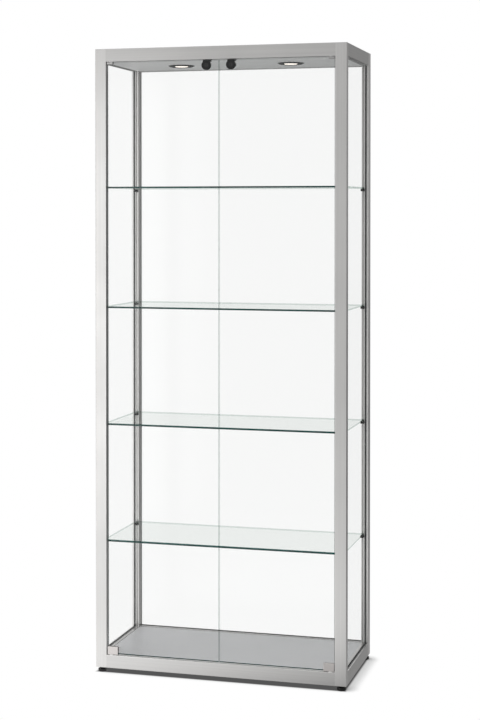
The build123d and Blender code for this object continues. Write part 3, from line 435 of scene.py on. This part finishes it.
def make_pane(node, body, thin):
    """A pane with clear faces and tinted edges; thin is the axis across its thickness."""
    is_shelf = node.startswith("shelf")
    mesh = bpy.data.meshes.new(f"{node}_pane")
    shape = bmesh.new()
    shape.from_mesh(NODES[node].data)
    bmesh.ops.remove_doubles(shape, verts=shape.verts, dist=WELD_DISTANCE)
    bmesh.ops.dissolve_limit(shape, angle_limit=math.radians(1), verts=shape.verts, edges=shape.edges)
    for face in shape.faces:
        face.smooth = False
        face.material_index = pane_slot(face, thin, is_shelf)
    for material in (pane_clear(node), SHELF_EDGE if is_shelf else PANE_EDGE, PALE_EDGE, MEETING_EDGE):
        mesh.materials.append(material)
    shape.to_mesh(mesh)
    shape.free()
    pane = bpy.data.objects.new(f"{node}_pane", mesh)
    bpy.context.scene.collection.objects.link(pane)
    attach(pane, body)
    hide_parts(node)


for name, cad_node in NODES.items():
    if name in PANES:
        make_pane(name, *PANES[name])
    else:
        dress(cad_node, material_for(name))

# ---------------------------------------------------------------- stage, light, camera

WHITE = (1, 1, 1, 1)
CASE_HALF = (0.400, 0.190)
FLOOR_SIZE = 60

# Light thrown back by the floor: least and most toward one side, less again far out
BOUNCE_SIDE = (-0.7, -0.7, 0.0)
FLOOR_BOUNCE = (0.36, 1.25)
BOUNCE_RANGE = (-0.15, 0.5)
FAR_BOUNCE = 0.5
FAR_RANGE = (0.7, 3.0)

# What the eye sees: dark under the case, a soft contact shadow close beside it
UNDER_SHADE = 0.09
UNDER_RANGE = (-0.006, 0.004)
SHADOW_LEAN = (-0.5, -0.4, 0.77)
SHADOW_REACH = 0.05
SHADOW_DARKEST = 0.12
SHADOW_RANGE = (0.2, 0.86)

SURROUNDING_LIGHT = 0.27
# direction, inner and outer cosine, strength
SOFT_PANELS = (
    ((-0.55, -0.83, 0.10), 0.97, 0.60, 0.30),
    ((0.0, 0.0, 1.0), 0.95, 0.10, 0.80),
    ((1.0, -0.15, 0.15), 0.97, 0.45, 0.40),
    ((-0.5, 0.85, 0.2), 0.97, 0.60, 0.35),
)

WINDOW_TOWARD = (0.75, 0.35, -1.0)
WINDOW_ANGLE = 40
WINDOW_STRENGTH = 1.2
KEY_PLACE = (-1.05, -1.75, 1.02)
KEY_TARGET = (-0.4, -0.19, 1.02)
KEY_SIZE = (0.6, 2.0)
KEY_POWER = 5.2

CAMERA_PLACE = (1.363, -4.869, 1.448)
CAMERA_TURN = (89.08, 0.0, 15.46)
CAMERA_LENS = 79.66
CAMERA_SHIFT = -0.1726


def make_floor():
    """A wide white floor, darker only under the case and close beside it."""
    s = Shader("studio_floor")
    place = s.place()
    x, y = s.add("SeparateXYZ", Vector=place).outputs[:2]
    outside_x = s.compute("ADD", s.compute("ABSOLUTE", x), -CASE_HALF[0])
    outside_y = s.compute("ADD", s.compute("ABSOLUTE", y), -CASE_HALF[1])
    under = s.ramp(s.compute("MAXIMUM", outside_x, outside_y), UNDER_SHADE, 1.0, *UNDER_RANGE)
    lean = s.add("CombineXYZ", X=SHADOW_LEAN[0], Y=SHADOW_LEAN[1], Z=SHADOW_LEAN[2]).outputs[0]
    open_sky = s.add("AmbientOcclusion", {"samples": 16}, Distance=SHADOW_REACH, Normal=lean).outputs["AO"]
    shade = s.compute("MINIMUM", under, s.ramp(open_sky, SHADOW_DARKEST, 1.0, *SHADOW_RANGE))
    near = s.ramp(s.dot(place, BOUNCE_SIDE), *FLOOR_BOUNCE, *BOUNCE_RANGE)
    distance = s.add("VectorMath", {"operation": "LENGTH"}, i0=place).outputs["Value"]
    bounce = s.compute("MULTIPLY", near, s.ramp(distance, 1.0, FAR_BOUNCE, *FAR_RANGE))
    to_eye = s.add("LightPath").outputs["Is Camera Ray"]
    strength = s.add("Mix", {"data_type": "FLOAT"}, i0=to_eye, i2=bounce, i3=shade).outputs[0]
    material = s.finish(s.add("Emission", Color=WHITE, Strength=strength).outputs[0])
    bpy.ops.mesh.primitive_plane_add(size=FLOOR_SIZE, location=(0, 0, 0))
    floor = bpy.context.active_object
    floor.name = "studio_floor"
    dress(floor, material)


def make_world():
    """White to the eye; the surroundings that light the object are soft panels."""
    s = Shader("studio", world=True)
    direction = s.add("TexCoord").outputs["Generated"]
    total = s.add("Value").outputs[0]
    total.default_value = SURROUNDING_LIGHT
    smooth = {"interpolation_type": "SMOOTHSTEP"}
    for toward, inner, outer, strength in SOFT_PANELS:
        facing = s.dot(direction, Vector(toward).normalized())
        lobe = s.add("MapRange", smooth, i0=facing, i1=outer, i2=inner, i3=0.0, i4=strength)
        total = s.compute("ADD", total, lobe.outputs[0])
    lit = s.add("Background", Color=WHITE, Strength=total)
    seen = s.add("Background", Color=WHITE, Strength=1.0)
    to_eye = s.add("LightPath").outputs["Is Camera Ray"]
    mix = s.add("MixShader", Fac=to_eye, i1=lit.outputs[0], i2=seen.outputs[0])
    bpy.context.scene.world = s.finish(mix.outputs[0])


def soft_light(name, location, target, size, power):
    """An area light, width by height, aimed at a point."""
    data = bpy.data.lights.new(name, "AREA")
    data.shape = "RECTANGLE"
    data.size, data.size_y = size
    data.energy = power
    light = bpy.data.objects.new(name, data)
    bpy.context.scene.collection.objects.link(light)
    light.location = location
    toward = Vector(target) - Vector(location)
    light.rotation_euler = toward.to_track_quat("-Z", "Y").to_euler()
    light.visible_camera = False


def far_light(name, toward, angle, strength):
    """A sun lamp shining along a direction, as wide as the angle in degrees."""
    data = bpy.data.lights.new(name, "SUN")
    data.angle = math.radians(angle)
    data.energy = strength
    light = bpy.data.objects.new(name, data)
    bpy.context.scene.collection.objects.link(light)
    light.rotation_euler = Vector(toward).to_track_quat("-Z", "Y").to_euler()


def make_camera():
    """Eye-height view from the right of the doors, with the frame's verticals kept upright."""
    data = bpy.data.cameras.new("view")
    data.lens = CAMERA_LENS
    data.sensor_width = 36.0
    data.shift_y = CAMERA_SHIFT
    data.clip_end = 100.0
    camera = bpy.data.objects.new("view", data)
    bpy.context.scene.collection.objects.link(camera)
    camera.location = CAMERA_PLACE
    camera.rotation_euler = [math.radians(degrees) for degrees in CAMERA_TURN]
    bpy.context.scene.camera = camera


make_camera()
make_floor()
make_world()
far_light("window_light", WINDOW_TOWARD, WINDOW_ANGLE, WINDOW_STRENGTH)
soft_light("key_panel", KEY_PLACE, KEY_TARGET, KEY_SIZE, KEY_POWER)

bpy.context.scene.view_settings.view_transform = "Standard"
# A line of sight crosses many glass faces
bpy.context.scene.cycles.max_bounces = 16
bpy.context.scene.cycles.transparent_max_bounces = 32
